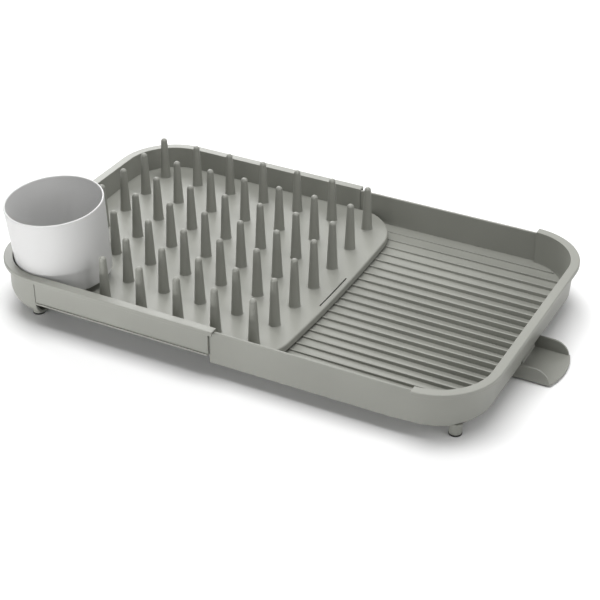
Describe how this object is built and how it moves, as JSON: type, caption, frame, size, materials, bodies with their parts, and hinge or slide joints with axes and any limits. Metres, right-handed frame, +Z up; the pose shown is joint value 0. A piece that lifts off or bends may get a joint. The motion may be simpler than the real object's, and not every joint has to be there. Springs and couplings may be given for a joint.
{
  "type": "dish drying rack",
  "caption": "Extendable drying rack: a peg tray slides over a ribbed draining tray, with a lift-off utensil pot, a drain spout and a pull-out stopper.",
  "frame": {"origin": "on the standing plane, below the centre of the extended rack's bounding box", "axes": "+X along the rack's length towards the spout, +Y across the rack, +Z up"},
  "size_m": [0.5477, 0.32, 0.1161],
  "materials": {
    "tray_plastic": "satin",
    "pot_plastic": "satin",
    "foot_rubber": "matte"
  },
  "bodies": {
    "ribbed_body": {"ribbed_tray": "tray_plastic", "drain_ribs": "tray_plastic", "spout": "tray_plastic", "foot_pad_right_near": "foot_rubber", "foot_pad_right_far": "foot_rubber", "foot_pad_inner_near": "foot_rubber", "foot_pad_inner_far": "foot_rubber"},
    "peg_body": {"peg_tray": "tray_plastic", "peg_row_1": "tray_plastic", "peg_row_2": "tray_plastic", "peg_row_3": "tray_plastic", "peg_row_4": "tray_plastic", "peg_row_5": "tray_plastic", "peg_row_6": "tray_plastic", "peg_row_7": "tray_plastic", "foot_pad_left_near": "foot_rubber", "foot_pad_left_far": "foot_rubber"},
    "pot_body": {"utensil_pot": "pot_plastic"},
    "stopper_body": {"outlet_stopper": "tray_plastic"}
  },
  "joints": [
    {"name": "extension_slide", "type": "slide", "parent": "ribbed_body", "child": "peg_body", "axis": [1, 0, 0], "range_m": [0, 0.165]},
    {"name": "pot_lift", "type": "slide", "parent": "peg_body", "child": "pot_body", "axis": [0, 0, 1], "range_m": [0, 0.09]},
    {"name": "stopper_pull", "type": "slide", "parent": "ribbed_body", "child": "stopper_body", "axis": [1, 0, 0], "range_m": [0, 0.012]}
  ]
}
